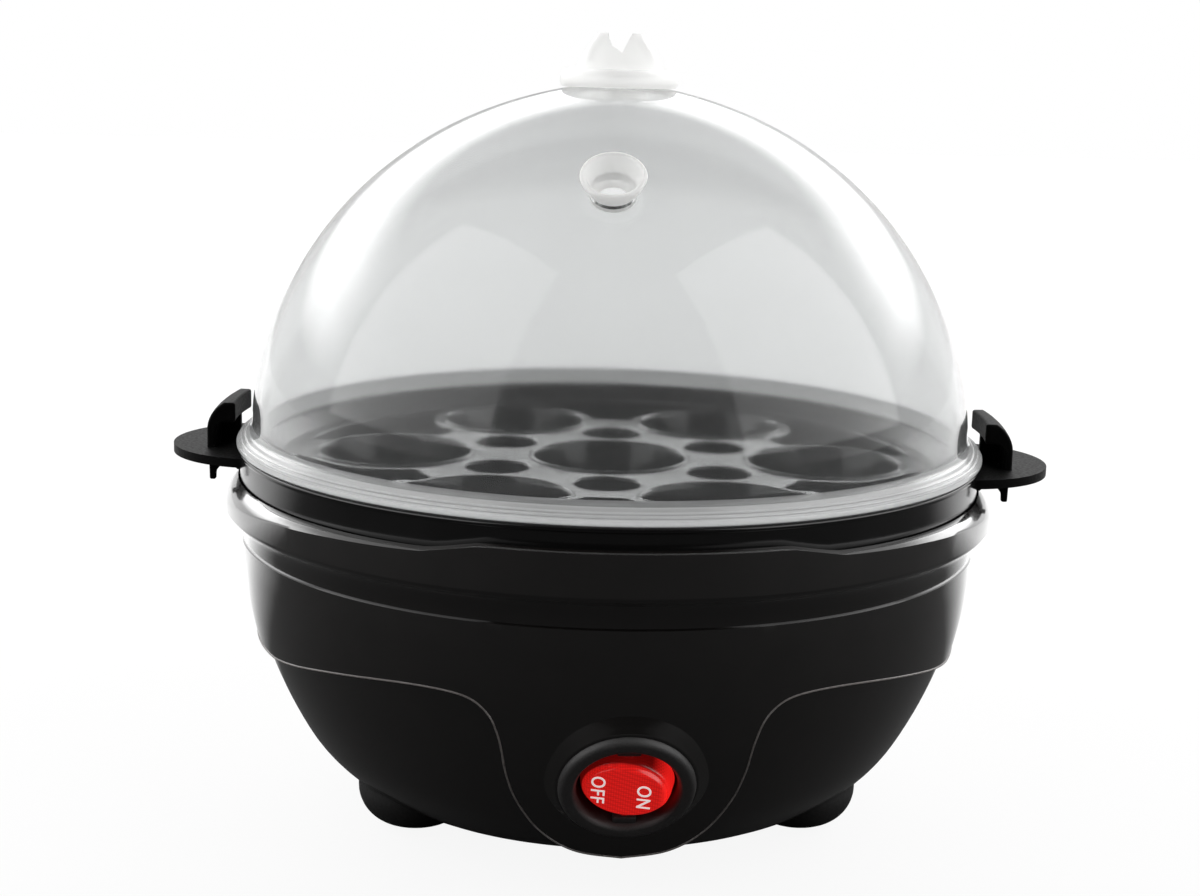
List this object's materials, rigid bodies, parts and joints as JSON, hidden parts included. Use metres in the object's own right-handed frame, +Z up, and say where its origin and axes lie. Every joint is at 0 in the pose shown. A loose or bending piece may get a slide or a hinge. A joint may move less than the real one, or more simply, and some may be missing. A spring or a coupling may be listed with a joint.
{
  "type": "electric egg cooker",
  "caption": "Round electric egg cooker: black base with a heated water pan, a lift-out egg tray with side wings, a clear dome lid with a knob and steam vent, and a lit rocker switch.",
  "frame": {"origin": "on the table, under the middle of the base, midway between the feet", "axes": "+Z up, the switch faces -Y, +X to the right as seen from the switch side"},
  "size_m": [0.186, 0.1624, 0.1618],
  "materials": {
    "base_plastic": "glossy black",
    "tray_plastic": "glossy black",
    "dark_plastic": "satin black",
    "clear_plastic": "clear, polished",
    "frosted_plastic": "frosted",
    "red_plastic": "translucent red",
    "white_plastic": "satin white",
    "wire_cover": "satin",
    "aluminium": "satin",
    "steel": "plated",
    "brass": "plain",
    "rubber": "matt",
    "silicone": "matt",
    "glass": "clear"
  },
  "bodies": {
    "base": {"base_shell": "base_plastic", "rubber_feet": "rubber", "bottom_cover": "dark_plastic", "cover_screws": "steel", "heating_plate": "aluminium", "pan_seal": "silicone", "pan_screws": "steel", "heating_element": "steel", "element_clamp": "steel", "clamp_nut": "steel", "thermostat": "steel", "thermal_fuse": "aluminium", "fuse_sleeve": "white_plastic", "cord_gland": "dark_plastic", "cord_clamp": "dark_plastic", "clamp_screws": "steel", "switch_housing": "dark_plastic", "switch_terminals": "brass", "switch_lamp": "glass", "terminal_block": "white_plastic", "live_wire": "wire_cover", "lamp_wire": "wire_cover", "neutral_wire": "wire_cover", "switched_wire": "wire_cover", "thermostat_wire": "wire_cover", "element_wire": "wire_cover"},
    "tray": {"egg_tray": "tray_plastic"},
    "lid": {"lid_dome": "clear_plastic", "lid_knob": "frosted_plastic", "steam_vent": "frosted_plastic", "knob_clip": "frosted_plastic"},
    "rocker": {"rocker_cap": "red_plastic", "rocker_pin": "brass"},
    "contact": {"contact_blade": "brass"}
  },
  "joints": [
    {"name": "tray_lift", "type": "slide", "parent": "base", "child": "tray", "axis": [0, 0, 1], "range_m": [0, 0.12]},
    {"name": "lid_lift", "type": "slide", "parent": "tray", "child": "lid", "axis": [0, 0, 1], "range_m": [0, 0.14]},
    {"name": "rocker_turn", "type": "hinge", "parent": "base", "child": "rocker", "pos_m": [0, -0.06939, 0.02635], "axis": [0, -0.4226, 0.9063], "range_deg": [0, 18]},
    {"name": "contact_tilt", "type": "hinge", "parent": "base", "child": "contact", "pos_m": [0, -0.06105, 0.03023], "axis": [0, -0.4226, 0.9063], "range_deg": [-14, 0]}
  ],
  "couplings": [
    {"joint": "contact_tilt", "follows": "rocker_turn", "ratio": -0.75}
  ]
}
